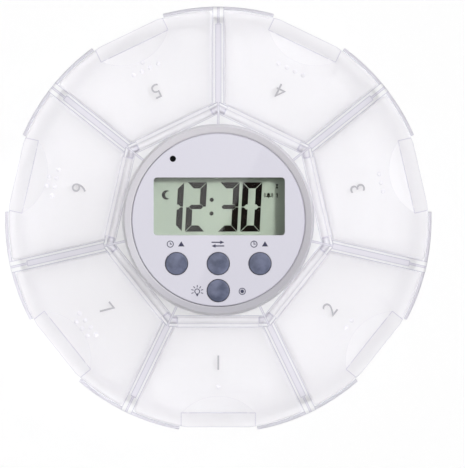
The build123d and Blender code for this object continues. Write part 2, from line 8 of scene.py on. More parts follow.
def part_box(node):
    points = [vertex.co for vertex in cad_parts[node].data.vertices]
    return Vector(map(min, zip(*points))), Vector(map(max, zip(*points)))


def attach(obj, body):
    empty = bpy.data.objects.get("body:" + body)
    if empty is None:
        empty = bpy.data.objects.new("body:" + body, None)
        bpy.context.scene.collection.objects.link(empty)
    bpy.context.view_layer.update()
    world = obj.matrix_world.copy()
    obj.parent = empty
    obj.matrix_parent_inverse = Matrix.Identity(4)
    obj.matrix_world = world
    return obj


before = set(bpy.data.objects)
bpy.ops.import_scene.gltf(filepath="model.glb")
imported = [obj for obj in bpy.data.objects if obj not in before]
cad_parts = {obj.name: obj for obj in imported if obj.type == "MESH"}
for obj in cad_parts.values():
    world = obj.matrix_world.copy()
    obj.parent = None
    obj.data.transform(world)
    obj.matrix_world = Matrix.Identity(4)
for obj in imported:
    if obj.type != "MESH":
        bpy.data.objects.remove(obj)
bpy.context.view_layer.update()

bpy.ops.object.select_all(action="DESELECT")

# Camera. The photograph looks straight down on the closed box from far off, with the rim's
# circle nearly filling it. Its scale comes from the width of that circle.
MM = 0.001
PICTURE_WIDTH = 465
PICTURE_HEIGHT = 468
MIDDLE_PIXEL = (218.3, 219.9)
RIM_RADIUS = 64.0 * MM
RIM_PIXELS = 213.3
PIXEL = RIM_RADIUS / RIM_PIXELS
DECK_LEVEL = 26.0 * MM
CAMERA_HEIGHT = 1.2
SENSOR = 36.0


def at_pixel(x, y):
    """The place in plan, in metres, that a pixel of the photograph shows."""
    return (x - MIDDLE_PIXEL[0]) * PIXEL, (MIDDLE_PIXEL[1] - y) * PIXEL


camera_x, camera_y = at_pixel(PICTURE_WIDTH / 2, PICTURE_HEIGHT / 2)
camera_data = bpy.data.cameras.new("camera")
camera_data.type = "PERSP"
camera_data.sensor_width = SENSOR
camera_data.lens = SENSOR * CAMERA_HEIGHT / (PICTURE_HEIGHT * PIXEL)
camera = bpy.data.objects.new("camera", camera_data)
camera.location = (camera_x, camera_y, DECK_LEVEL + CAMERA_HEIGHT)
bpy.context.scene.collection.objects.link(camera)
bpy.context.scene.camera = camera
bpy.context.scene.view_settings.view_transform = "Standard"


# Studio: a white sweep all round with a dark ceiling, so that flat glossy faces stay clear,
# one key lamp at the upper right, and a soft panel that the glossy face reflects.
def add_node(tree, kind, **settings):
    """A new shader node of that kind with its settings."""
    node = tree.nodes.new("ShaderNode" + kind)
    for name, value in settings.items():
        setattr(node, name, value)
    return node


def join(tree, source, target):
    """Links one node's output socket to another's input socket."""
    tree.links.new(source, target)


def seen_by(tree, kinds):
    """A socket that is 1 for the kinds of ray named, such as Is Camera Ray."""
    rays = add_node(tree, "LightPath")
    total = rays.outputs[kinds[0]]
    for kind in kinds[1:]:
        most = add_node(tree, "Math", operation="MAXIMUM")
        join(tree, total, most.inputs[0])
        join(tree, rays.outputs[kind], most.inputs[1])
        total = most.outputs[0]
    return total


AMBIENT = 0.64
CEILING = 0.04
CEILING_START = 0.55
CEILING_END = 0.95
BACKDROP_RAYS = ("Is Camera Ray", "Is Glossy Ray", "Is Transmission Ray")

world = bpy.data.worlds.new("studio")
bpy.context.scene.world = world
world.use_nodes = True
sky = world.node_tree
sky.nodes.clear()
direction = add_node(sky, "TexCoord")
height = add_node(sky, "SeparateXYZ")
join(sky, direction.outputs["Generated"], height.inputs[0])
dimming = add_node(sky, "MapRange", interpolation_type="SMOOTHSTEP")
dimming.inputs["From Min"].default_value = CEILING_START
dimming.inputs["From Max"].default_value = CEILING_END
dimming.inputs["To Min"].default_value = 1.0
dimming.inputs["To Max"].default_value = CEILING
join(sky, height.outputs["Z"], dimming.inputs["Value"])
shown = add_node(sky, "Background")
join(sky, dimming.outputs["Result"], shown.inputs["Strength"])
lighting = add_node(sky, "Background")
lighting.inputs["Strength"].default_value = AMBIENT
either = add_node(sky, "MixShader")
join(sky, seen_by(sky, BACKDROP_RAYS), either.inputs["Fac"])
join(sky, lighting.outputs[0], either.inputs[1])
join(sky, shown.outputs[0], either.inputs[2])
sky_output = add_node(sky, "OutputWorld")
join(sky, either.outputs[0], sky_output.inputs["Surface"])

KEY_STRENGTH = 1.75
KEY_WIDTH = math.radians(10)
KEY_TILT = math.radians(47)
KEY_TURN = math.radians(26)

key_data = bpy.data.lights.new("key lamp", "SUN")
key_data.energy = KEY_STRENGTH
key_data.angle = KEY_WIDTH
key_lamp = bpy.data.objects.new("key lamp", key_data)
key_lamp.rotation_euler = (0, KEY_TILT, KEY_TURN)
bpy.context.scene.collection.objects.link(key_lamp)

PANEL_HEIGHT = 0.35
PANEL_SIZE = (0.17, 0.23)
PANEL_RADIANCE = 0.8
GLARE_EDGE = ((261, 150), (199, 282))
FACE_LEVEL = 28.5 * MM


def seen_in_face(x, y):
    """Where a lamp's edge hangs so that the face reflects it to the camera at a pixel."""
    place_x, place_y = at_pixel(x, y)
    spread = (PANEL_HEIGHT - FACE_LEVEL) / (CAMERA_HEIGHT + DECK_LEVEL - FACE_LEVEL)
    return Vector((place_x + (place_x - camera_x) * spread, place_y + (place_y - camera_y) * spread))


edge_top, edge_bottom = (seen_in_face(*pixel) for pixel in GLARE_EDGE)
edge_line = (edge_top - edge_bottom).normalized()
edge_side = Vector((-edge_line.y, edge_line.x))
panel_middle = (edge_top + edge_bottom) / 2 + edge_side * PANEL_SIZE[0] / 2
panel_data = bpy.data.lights.new("soft panel", "AREA")
panel_data.shape = "RECTANGLE"
panel_data.size, panel_data.size_y = PANEL_SIZE
panel_data.energy = PANEL_RADIANCE * math.pi * PANEL_SIZE[0] * PANEL_SIZE[1]
panel = bpy.data.objects.new("soft panel", panel_data)
panel.location = (panel_middle.x, panel_middle.y, PANEL_HEIGHT)
panel.rotation_euler = (0, 0, math.atan2(edge_line.y, edge_line.x) - math.pi / 2)
panel.visible_camera = False
bpy.context.scene.collection.objects.link(panel)

FLOOR_SIZE = 8.0
FLOOR_COLOUR = 0.98
FLOOR_GLOW = 0.88

bpy.ops.mesh.primitive_plane_add(size=FLOOR_SIZE)
floor = bpy.context.object
floor.name = "studio_floor"
paper = bpy.data.materials.new("white paper sweep")
paper.use_nodes = True
sheet = paper.node_tree
sheet.nodes.clear()
lit = add_node(sheet, "BsdfDiffuse")
lit.inputs["Color"].default_value = (FLOOR_COLOUR, FLOOR_COLOUR, FLOOR_COLOUR, 1)
glow = add_node(sheet, "Emission")
share = add_node(sheet, "Math", operation="MULTIPLY")
join(sheet, seen_by(sheet, BACKDROP_RAYS), share.inputs[0])
share.inputs[1].default_value = FLOOR_GLOW
blend = add_node(sheet, "MixShader")
join(sheet, share.outputs[0], blend.inputs["Fac"])
join(sheet, lit.outputs[0], blend.inputs[1])
join(sheet, glow.outputs[0], blend.inputs[2])
sheet_output = add_node(sheet, "OutputMaterial")
join(sheet, blend.outputs[0], sheet_output.inputs["Surface"])
floor.data.materials.append(paper)


# Tray: one moulding of frosted clear plastic, with a fine haze and a grain from the mould.
# Its upright walls are painted greyer than its flats as a painted shade, and its edges and grooves get
# painted shade too.
def tint(red, green, blue):
    """A colour as it looks on a screen, 0 to 255, in the linear values that shaders take."""
    return tuple(((c / 255 + 0.055) / 1.055) ** 2.4 for c in (red, green, blue)) + (1,)


def effect(name, inputs, outputs):
    """An empty node group with named value or colour sockets, and its two end nodes."""
    tree = bpy.data.node_groups.new(name, "ShaderNodeTree")
    for way, sockets in (("INPUT", inputs), ("OUTPUT", outputs)):
        for label, kind in sockets:
            tree.interface.new_socket(name=label, in_out=way, socket_type="NodeSocket" + kind)
    return tree, tree.nodes.new("NodeGroupInput"), tree.nodes.new("NodeGroupOutput")


def place_effect(tree, group, **values):
    """The group as a node in a material, with its values set."""
    node = tree.nodes.new("ShaderNodeGroup")
    node.node_tree = group
    for label, value in values.items():
        node.inputs[label].default_value = value
    return node


def new_finish(name, **constants):
    """A material with one Principled shader, and the plain values of its sockets by name."""
    finish = bpy.data.materials.new(name)
    finish.use_nodes = True
    shader = finish.node_tree.nodes["Principled BSDF"]
    for label, value in constants.items():
        shader.inputs[label.replace("_", " ")].default_value = value
    return finish, finish.node_tree, shader


def mixed(tree, share, plain, full):
    """A colour that turns from plain to full as the share socket goes from 0 to 1."""
    mix = add_node(tree, "Mix", data_type="RGBA")
    join(tree, share, mix.inputs["Factor"])
    for label, colour in (("A", plain), ("B", full)):
        if isinstance(colour, tuple):
            mix.inputs[label].default_value = colour
        else:
            join(tree, colour, mix.inputs[label])
    return mix.outputs["Result"]


def dress(node, finish):
    """Gives a CAD node its finish."""
    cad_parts[node].material_slots[0].material = finish


# Haze: soft patches and a fine grain, for roughness and for bump
HAZE_DETAIL = 3.0
haze, haze_in, haze_out = effect(
    "moulding haze",
    [("Grain", "Float"), ("Patch", "Float"), ("Low", "Float"), ("High", "Float")],
    [("Roughness", "Float"), ("Height", "Float"), ("Patches", "Float")],
)
haze_place = add_node(haze, "TexCoord")
grain = add_node(haze, "TexNoise")
patches = add_node(haze, "TexNoise")
for noise, label in ((grain, "Grain"), (patches, "Patch")):
    noise.inputs["Detail"].default_value = HAZE_DETAIL
    join(haze, haze_place.outputs["Object"], noise.inputs["Vector"])
    join(haze, haze_in.outputs[label], noise.inputs["Scale"])
gloss_range = add_node(haze, "MapRange")
join(haze, patches.outputs["Fac"], gloss_range.inputs["Value"])
join(haze, haze_in.outputs["Low"], gloss_range.inputs["To Min"])
join(haze, haze_in.outputs["High"], gloss_range.inputs["To Max"])
join(haze, gloss_range.outputs["Result"], haze_out.inputs["Roughness"])
join(haze, grain.outputs["Fac"], haze_out.inputs["Height"])
join(haze, patches.outputs["Fac"], haze_out.inputs["Patches"])

# Painted slope shading: one colour on level faces and another on upright ones, by the surface's own normal;
# it paints shade or light onto walls
painted_slope_shading, tone_in, tone_out = effect(
    "painted slope shading", [("Level", "Color"), ("Upright", "Color")], [("Color", "Color")]
)
tone_place = add_node(painted_slope_shading, "TexCoord")
tone_axes = add_node(painted_slope_shading, "SeparateXYZ")
join(painted_slope_shading, tone_place.outputs["Normal"], tone_axes.inputs[0])
steep = add_node(painted_slope_shading, "Math", operation="ABSOLUTE")
join(painted_slope_shading, tone_axes.outputs["Z"], steep.inputs[0])
toned = mixed(painted_slope_shading, steep.outputs[0], tone_in.outputs["Upright"], tone_in.outputs["Level"])
join(painted_slope_shading, toned, tone_out.inputs["Color"])

# Painted edge lines: a mask that is 1 along the edges of a moulding, where a painted shade is laid in thin
# lines.
# It shows where a rounded edge would turn the surface's normal, by the cosine of that turn.
LINE_SAMPLES = 8
LINE_START = 0.9995
LINE_FULL = 0.988
painted_edge_lines, line_in, line_out = effect("painted edge lines", [("Width", "Float")], [("Mask", "Float")])
rounded = add_node(painted_edge_lines, "Bevel", samples=LINE_SAMPLES)
join(painted_edge_lines, line_in.outputs["Width"], rounded.inputs["Radius"])
surface = add_node(painted_edge_lines, "NewGeometry")
alike = add_node(painted_edge_lines, "VectorMath", operation="DOT_PRODUCT")
join(painted_edge_lines, rounded.outputs["Normal"], alike.inputs[0])
join(painted_edge_lines, surface.outputs["Normal"], alike.inputs[1])
line_range = add_node(painted_edge_lines, "MapRange")
line_range.inputs["From Min"].default_value = LINE_START
line_range.inputs["From Max"].default_value = LINE_FULL
join(painted_edge_lines, alike.outputs["Value"], line_range.inputs["Value"])
join(painted_edge_lines, line_range.outputs["Result"], line_out.inputs["Mask"])

# Painted groove shade: a mask that is 1 between two levels, such as the floor and top of a groove, where
# shade is painted in
painted_groove_shade, groove_in, groove_out = effect(
    "painted groove shade", [("Top", "Float"), ("Bottom", "Float")], [("Mask", "Float")]
)
groove_place = add_node(painted_groove_shade, "TexCoord")
groove_axes = add_node(painted_groove_shade, "SeparateXYZ")
join(painted_groove_shade, groove_place.outputs["Object"], groove_axes.inputs[0])
under = add_node(painted_groove_shade, "Math", operation="LESS_THAN")
over = add_node(painted_groove_shade, "Math", operation="GREATER_THAN")
both = add_node(painted_groove_shade, "Math", operation="MULTIPLY")
for limit, label in ((under, "Top"), (over, "Bottom")):
    join(painted_groove_shade, groove_axes.outputs["Z"], limit.inputs[0])
    join(painted_groove_shade, groove_in.outputs[label], limit.inputs[1])
join(painted_groove_shade, under.outputs[0], both.inputs[0])
join(painted_groove_shade, over.outputs[0], both.inputs[1])
join(painted_groove_shade, both.outputs[0], groove_out.inputs["Mask"])

# Painted shade laid along the edges of frosted plastic
EDGE_WIDTH = 0.28 * MM
PAINTED_EDGE_SHADE = tint(196, 194, 208)
FROSTED_IOR = 1.35
FROSTED_FILM = (0.9, 0.9, 0.905, 1)


def grooved(tree, colour, groove):
    """The colour, turned to a painted shade between the groove's lowest and highest level."""
    low, high, shade = groove
    deep = place_effect(tree, painted_groove_shade, Top=high, Bottom=low)
    return mixed(tree, deep.outputs["Mask"], colour, shade)


def hazed(tree, shader, grain, patch, low, high):
    """Joins the moulding haze to a shader's roughness; gives back the haze's node."""
    mould = place_effect(tree, haze, Grain=grain, Patch=patch, Low=low, High=high)
    join(tree, mould.outputs["Roughness"], shader.inputs["Roughness"])
    return mould


def grained(tree, shader, height, depth, strength=1.0):
    """Gives a shader a bump of that depth from a height socket."""
    bump = add_node(tree, "Bump")
    bump.inputs["Distance"].default_value = depth
    bump.inputs["Strength"].default_value = strength
    join(tree, height, bump.inputs["Height"])
    join(tree, bump.outputs["Normal"], shader.inputs["Normal"])


def pass_lamps(tree, shader, film_colour):
    """Lets lamps shine through, each face they cross acting as a clear film of that colour."""
    film = add_node(tree, "BsdfTransparent")
    film.inputs["Color"].default_value = film_colour
    either = add_node(tree, "MixShader")
    join(tree, seen_by(tree, ("Is Shadow Ray",)), either.inputs["Fac"])
    join(tree, shader.outputs[0], either.inputs[1])
    join(tree, film.outputs[0], either.inputs[2])
    join(tree, either.outputs[0], tree.nodes["Material Output"].inputs["Surface"])


def frosted(name, level, upright, clearness, groove=None, edge_painted_shade=PAINTED_EDGE_SHADE):
    """Frosted clear plastic, which lets lamps through to what is behind it, with painted shade on its
    upright faces, its edges and any groove.
    """
    finish, tree, shader = new_finish(name, IOR=FROSTED_IOR, Transmission_Weight=clearness)
    tone = place_effect(tree, painted_slope_shading, Level=level, Upright=upright)
    colour = tone.outputs["Color"]
    if groove:
        colour = grooved(tree, colour, groove)
    lines = place_effect(tree, painted_edge_lines, Width=EDGE_WIDTH)
    colour = mixed(tree, lines.outputs["Mask"], colour, edge_painted_shade)
    join(tree, colour, shader.inputs["Base Color"])
    mould = hazed(tree, shader, grain=2600.0, patch=60.0, low=0.42, high=0.52)
    grained(tree, shader, mould.outputs["Height"], depth=0.02 * MM, strength=0.35)
    pass_lamps(tree, shader, FROSTED_FILM)
    return finish


# Painted shade in the tray's grooves between the dividers
GROOVE_FLOOR = DECK_LEVEL - 0.85 * MM
GROOVE_TOP = DECK_LEVEL - 0.1 * MM
PAINTED_GROOVE_SHADE = tint(230, 227, 237)
# The tray's upright walls get a painted shade, greyer than its flats, and its grooves a painted lavender
# shade
tray_plastic = frosted(
    "frosted tray plastic",
    level=tint(252, 252, 253),
    upright=tint(246, 245, 248),
    clearness=0.85,
    groove=(GROOVE_FLOOR, GROOVE_TOP, PAINTED_GROOVE_SHADE),
)
dress("tray", tray_plastic)


# Lids: seven panels of the same plastic on hinges round the hub, each with its day's number
# and counting dots standing up a little from the moulding.
# Lid walls get a painted shade, and lid and dot edges painted shade lines
LID_COLOUR = tint(249, 248, 250)
LID_WALL_PAINTED_SHADE = tint(238, 237, 242)
LID_CLEARNESS = 0.6
LID_PAINTED_EDGE_SHADE = tint(212, 210, 222)
DOT_PAINTED_SHADE = tint(236, 235, 241)
lid_plastic = frosted(
    "frosted lid plastic", LID_COLOUR, LID_WALL_PAINTED_SHADE, LID_CLEARNESS, edge_painted_shade=LID_PAINTED_EDGE_SHADE
)
dot_plastic = frosted(
    "frosted dot plastic", LID_COLOUR, LID_WALL_PAINTED_SHADE, LID_CLEARNESS, edge_painted_shade=DOT_PAINTED_SHADE
)
number_plastic, number_tree, number_shader = new_finish(
    "raised number plastic", Base_Color=tint(196, 194, 200), IOR=1.49
)
hazed(number_tree, number_shader, grain=2600.0, patch=90.0, low=0.35, high=0.55)

LID_COUNT = 7
FIRST_LID_ANGLE = 270.0
NUMBER_RADIUS = 42.8 * MM
NUMBER_HEIGHT = 4.4 * MM
NUMBER_RISE = 0.15 * MM
CAPITAL_SHARE = 0.69
FIGURE_THINNING = -0.006
DOT_RADIUS = 0.65 * MM
DOT_RISE = 0.18 * MM
DOT_PITCH = 2.7 * MM
DOT_ROWS = (50.1 * MM, 52.4 * MM)
DOTS_IN_ROW = 4
SMOOTH_ANGLE = math.radians(40)
MERGE_DISTANCE = 0.001 * MM


def only(piece):
    """Makes a piece the only one selected, and the active one."""
    bpy.ops.object.select_all(action="DESELECT")
    piece.select_set(True)
    bpy.context.view_layer.objects.active = piece


def cleaned(piece):
    """Merges doubled corners of a mesh and turns its faces outwards."""
    only(piece)
    bpy.ops.object.mode_set(mode="EDIT")
    bpy.ops.mesh.select_all(action="SELECT")
    bpy.ops.mesh.remove_doubles(threshold=MERGE_DISTANCE)
    bpy.ops.mesh.normals_make_consistent(inside=False)
    bpy.ops.object.mode_set(mode="OBJECT")
    return piece


def finish_piece(piece, body, finish):
    """Names the body a new piece rides on and the slot and finish that it has."""
    piece.data.materials.clear()
    piece.data.materials.append(finish)
    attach(piece, body)


def raised_text(name, text, height, rise):
    """A character as a thin mesh lying on the plan, about the origin."""
    bpy.ops.object.text_add()
    piece = bpy.context.object
    piece.name = name
    piece.data.body = text
    piece.data.size = height / CAPITAL_SHARE
    piece.data.align_x = "CENTER"
    piece.data.extrude = rise / 2
    piece.data.offset = FIGURE_THINNING * height / CAPITAL_SHARE
    piece.data.resolution_u = 4
    only(piece)
    bpy.ops.object.convert(target="MESH")
    piece = bpy.context.object
    piece.name = piece.data.name = name
    piece.data.transform(Matrix.Translation((0, -height / 2, rise / 2)))
    return cleaned(piece)


bpy.ops.object.select_all(action="DESELECT")
bpy.ops.mesh.primitive_uv_sphere_add(segments=16, ring_count=8, radius=DOT_RADIUS)
dot = bpy.context.object
dot.name = "counting_dot"
dot.data.transform(Matrix.Diagonal((1, 1, DOT_RISE / DOT_RADIUS, 1)))
bpy.ops.object.mode_set(mode="EDIT")
bpy.ops.mesh.select_all(action="SELECT")
bpy.ops.mesh.bisect(
    plane_co=(0, 0, 0), plane_no=(0, 0, 1), use_fill=True, clear_inner=True, threshold=MERGE_DISTANCE
)
bpy.ops.object.mode_set(mode="OBJECT")
bpy.ops.object.shade_smooth_by_angle(angle=SMOOTH_ANGLE)

for number in range(1, LID_COUNT + 1):
    body = f"lid_{number}"
    angle = math.radians(FIRST_LID_ANGLE + (number - 1) * 360 / LID_COUNT)
    turn = Matrix.Rotation(angle - math.radians(FIRST_LID_ANGLE), 4, "Z")
    dress(body, lid_plastic)
    figure = raised_text(f"lid_number_{number}", str(number), NUMBER_HEIGHT, NUMBER_RISE)
    figure.data.transform(turn @ Matrix.Translation((0, -NUMBER_RADIUS, DECK_LEVEL)))
    finish_piece(figure, body, number_plastic)
    dots = []
    for index in range(number):
        row, column = divmod(index, DOTS_IN_ROW)
        in_row = min(number - row * DOTS_IN_ROW, DOTS_IN_ROW)
        x = (column - (in_row - 1) / 2) * DOT_PITCH
        copy = dot.copy()
        copy.data = dot.data.copy()
        bpy.context.scene.collection.objects.link(copy)
        copy.data.transform(turn @ Matrix.Translation((x, -DOT_ROWS[row], DECK_LEVEL)))
        dots.append(copy)
    bpy.ops.object.select_all(action="DESELECT")
    for copy in dots:
        copy.select_set(True)
    bpy.context.view_layer.objects.active = dots[0]
    if len(dots) > 1:
        bpy.ops.object.join()
    dots[0].name = dots[0].data.name = f"lid_dots_{number}"
    finish_piece(dots[0], body, dot_plastic)
bpy.data.objects.remove(dot)


# Timer case: a satin silver moulding whose thin ring frames the face and lets some light through.
# Its colour is painted light: the ring is painted brighter towards the far side, and its upright walls paler
# towards the left.
painted_light_gradient, sheen_in, sheen_out = effect(
    "painted light gradient", [("Dull", "Color"), ("Bright", "Color"), ("Towards", "Vector")], [("Color", "Color")]
)
sheen_place = add_node(painted_light_gradient, "TexCoord")
along_sheen = add_node(painted_light_gradient, "VectorMath", operation="DOT_PRODUCT")
join(painted_light_gradient, sheen_place.outputs["Object"], along_sheen.inputs[0])
join(painted_light_gradient, sheen_in.outputs["Towards"], along_sheen.inputs[1])
sheen_range = add_node(painted_light_gradient, "MapRange")
sheen_range.inputs["From Min"].default_value = -1.0
join(painted_light_gradient, along_sheen.outputs["Value"], sheen_range.inputs["Value"])
sheen = mixed(
    painted_light_gradient, sheen_range.outputs["Result"], sheen_in.outputs["Dull"], sheen_in.outputs["Bright"]
)
join(painted_light_gradient, sheen, sheen_out.inputs["Color"])


def sheened(tree, dull, bright, along, reach):
    """A painted light: a colour dull at one end of a direction in plan and bright at the other."""
    towards = (along[0] / reach, along[1] / reach, 0)
    return place_effect(tree, painted_light_gradient, Dull=dull, Bright=bright, Towards=towards).outputs["Color"]


CASE_REACH = 29.0 * MM
CASE_FILM = (0.88, 0.88, 0.885, 1)
# Painted light: the ring is painted brighter towards the far side, its walls brighter towards the left
RING_BRIGHT_SIDE = (0.15, 0.99)
WALL_BRIGHT_SIDE = (-0.97, -0.24)
case_plastic, case_tree, case_shader = new_finish("satin silver case plastic", IOR=1.5)
ring_painted_light = sheened(case_tree, tint(184, 182, 190), tint(224, 221, 227), RING_BRIGHT_SIDE, CASE_REACH)
wall_painted_light = sheened(case_tree, tint(190, 188, 196), tint(250, 249, 252), WALL_BRIGHT_SIDE, CASE_REACH)
case_tone = place_effect(case_tree, painted_slope_shading)
join(case_tree, ring_painted_light, case_tone.inputs["Level"])
join(case_tree, wall_painted_light, case_tone.inputs["Upright"])
join(case_tree, case_tone.outputs["Color"], case_shader.inputs["Base Color"])
case_haze = hazed(case_tree, case_shader, grain=3200.0, patch=140.0, low=0.3, high=0.42)
grained(case_tree, case_shader, case_haze.outputs["Height"], depth=0.01 * MM, strength=0.3)
pass_lamps(case_tree, case_shader, CASE_FILM)
dress("timer_case", case_plastic)


# Face plate: a pearl lavender disc under a hard gloss coat, with printed marks by its keys.
# Its glare comes from the coat alone, while its colour is painted lighter towards the upper right as a
# painted light.
GLOSS_ROUGHNESS = 0.02
# Painted light: the face's colour is painted brighter towards the upper right
FACE_REACH = 26.0 * MM
FACE_BRIGHT_SIDE = (0.74, 0.67)
FLAKE_SPREAD = 0.03
face_panel, face_tree, face_shader = new_finish(
    "pearl face panel", Specular_IOR_Level=0.0, Coat_Weight=1.0, Coat_Roughness=GLOSS_ROUGHNESS
)
pearl = sheened(face_tree, tint(220, 218, 229), tint(227, 225, 236), FACE_BRIGHT_SIDE, FACE_REACH)
flakes = hazed(face_tree, face_shader, grain=4200.0, patch=300.0, low=0.3, high=0.4)
flake_range = add_node(face_tree, "MapRange")
flake_range.inputs["To Min"].default_value = 1 - FLAKE_SPREAD
flake_range.inputs["To Max"].default_value = 1 + FLAKE_SPREAD
join(face_tree, flakes.outputs["Height"], flake_range.inputs["Value"])
flaked = add_node(face_tree, "VectorMath", operation="SCALE")
join(face_tree, pearl, flaked.inputs[0])
join(face_tree, flake_range.outputs["Result"], flaked.inputs["Scale"])
join(face_tree, flaked.outputs["Vector"], face_shader.inputs["Base Color"])
dress("face_plate", face_panel)

print_ink, print_tree, print_shader = new_finish("slate printing ink", Base_Color=tint(66, 66, 92))
hazed(print_tree, print_shader, grain=4200.0, patch=300.0, low=0.42, high=0.58)
PRINT_FILM = 0.02 * MM


def flat_shape(name, outlines, level, thickness):
    """Flat artwork of closed outlines, those inside another cut out of it, as a thin mesh."""
    curve = bpy.data.curves.new(name, "CURVE")
    curve.dimensions = "2D"
    curve.fill_mode = "BOTH"
    curve.extrude = thickness / 2
    for outline in outlines:
        line = curve.splines.new("POLY")
        line.points.add(len(outline) - 1)
        for point, (x, y) in zip(line.points, outline):
            point.co = (x, y, 0, 1)
        line.use_cyclic_u = True
    piece = bpy.data.objects.new(name, curve)
    bpy.context.scene.collection.objects.link(piece)
    only(piece)
    bpy.ops.object.convert(target="MESH")
    piece = bpy.context.object
    piece.name = piece.data.name = name
    piece.data.transform(Matrix.Translation((0, 0, level + thickness / 2)))
    return cleaned(piece)


def circle(x, y, radius, steps=24):
    """A round outline."""
    turns = [2 * math.pi * i / steps for i in range(steps)]
    return [(x + radius * math.cos(t), y + radius * math.sin(t)) for t in turns]


def bow(x, y, radius, stroke, start, end, steps=12):
    """An arc as wide as the stroke, between two angles in degrees."""
    turns = [math.radians(start + (end - start) * i / steps) for i in range(steps + 1)]
    outer, inner = (
        [(x + reach * math.cos(t), y + reach * math.sin(t)) for t in turns]
        for reach in (radius + stroke / 2, radius - stroke / 2)
    )
    return outer + inner[::-1]


def bar(x1, y1, x2, y2, stroke):
    """A straight stroke between two points."""
    along = Vector((x2 - x1, y2 - y1)).normalized()
    side = Vector((-along.y, along.x)) * stroke / 2
    corners = ((x1, y1, 1), (x1, y1, -1), (x2, y2, -1), (x2, y2, 1))
    return [(x + way * side.x, y + way * side.y) for x, y, way in corners]


def placed(outline, place, size=1.0):
    """An outline in millimetres, sized and moved to its place."""
    return [(place[0] + x * size * MM, place[1] + y * size * MM) for x, y in outline]


SIGN_RADIUS = 1.05 * MM
SIGN_PITCH = 3.3 * MM
PRINT_STROKE = 0.24 * MM
HOUR_HAND = 0.45 * SIGN_RADIUS
MINUTE_HAND = 0.75 * SIGN_RADIUS
SIDE_HAND = 0.5 * SIGN_RADIUS
RECORD_DOT = 0.52 * SIGN_RADIUS
ARROWHEAD = [(-0.95, -0.7), (0.95, -0.7), (0, 0.85)]
MODE_ARROW = [(-1.9, 0.38), (0.7, 0.38), (0.7, 0.02), (1.9, 0.55), (0.7, 1.08), (0.7, 0.72), (-1.9, 0.72)]
BULB_RADIUS = 0.72 * MM
BULB_LIFT = 0.15 * MM
BULB_ARC = (-55, 235)
BULB_STEPS = 20
BASE_BARS = 3
BASE_GAP = 0.05 * MM
BASE_PITCH = 0.27 * MM
BASE_HALF = 0.42 * MM
BASE_TAPER = 0.1 * MM
RAY_COUNT = 7
RAY_START = -20
RAY_SPREAD = 220
RAY_REACH = (1.15 * MM, 1.85 * MM)


def clock_sign(place, hand_length):
    """A clock face whose one hand tells hours from minutes, and an arrowhead that steps it on."""
    x, y = place[0] - SIGN_PITCH / 2, place[1]
    arrow_x = place[0] + SIGN_PITCH / 2
    rim = [circle(x, y, SIGN_RADIUS), circle(x, y, SIGN_RADIUS - PRINT_STROKE)]
    hands = [bar(x, y - PRINT_STROKE / 2, x, y + hand_length, PRINT_STROKE)]
    hands.append(bar(x + PRINT_STROKE / 2, y, x + SIDE_HAND, y, PRINT_STROKE))
    return rim + hands + [placed(ARROWHEAD, (arrow_x, y))]


def arrow_sign(place):
    """Two opposite arrows, for stepping through what the display shows."""
    arrows = []
    for way in (1, -1):
        outline = [(way * x, way * y) for x, y in MODE_ARROW]
        arrows.append(placed(outline, place))
    return arrows


def record_sign(place):
    """A dot in a ring."""
    return [circle(*place, radius) for radius in (SIGN_RADIUS, SIGN_RADIUS - PRINT_STROKE, RECORD_DOT)]


def lamp_sign(place):
    """A glowing lamp bulb."""
    x, y = place
    bulb_y = y + BULB_LIFT
    sign = [bow(x, bulb_y, BULB_RADIUS, PRINT_STROKE, *BULB_ARC, BULB_STEPS)]
    for step in range(BASE_BARS):
        level = bulb_y - BULB_RADIUS - BASE_GAP - BASE_PITCH * step
        half = BASE_HALF - BASE_TAPER * step
        sign.append(bar(x - half, level, x + half, level, PRINT_STROKE))
    for step in range(RAY_COUNT):
        turn = math.radians(RAY_START + RAY_SPREAD * step / (RAY_COUNT - 1))
        along = Vector((math.cos(turn), math.sin(turn)))
        start, end = (Vector((x, bulb_y)) + along * reach for reach in RAY_REACH)
        sign.append(bar(*start, *end, PRINT_STROKE))
    return sign


HOUR_SIGN_PIXEL = (175.9, 244.1)
MODE_SIGN_PIXEL = (217.9, 244.1)
MINUTE_SIGN_PIXEL = (259.4, 244.1)
RECORD_SIGN_PIXEL = (242.2, 291.2)
LAMP_SIGN_PIXEL = (197.3, 291.7)
FACE_SIGNS = {
    "hour_sign": clock_sign(at_pixel(*HOUR_SIGN_PIXEL), HOUR_HAND),
    "mode_sign": arrow_sign(at_pixel(*MODE_SIGN_PIXEL)),
    "minute_sign": clock_sign(at_pixel(*MINUTE_SIGN_PIXEL), MINUTE_HAND),
    "record_sign": record_sign(at_pixel(*RECORD_SIGN_PIXEL)),
    "lamp_sign": lamp_sign(at_pixel(*LAMP_SIGN_PIXEL)),
}
for name, outlines in FACE_SIGNS.items():
    sign = flat_shape(name, outlines, FACE_LEVEL, PRINT_FILM)
    finish_piece(sign, "timer", print_ink)


# Display window: a clear acrylic pane, held under the opening of the face plate. Lamps shine
# through it onto the display.
CLEAR = (1, 1, 1, 1)
clear_pane, pane_tree, pane_shader = new_finish(
    "clear window pane", Base_Color=CLEAR, IOR=1.45, Transmission_Weight=1.0
)
hazed(pane_tree, pane_shader, grain=2600.0, patch=150.0, low=0.01, high=0.03)
pass_lamps(pane_tree, pane_shader, CLEAR)
dress("display_window", clear_pane)


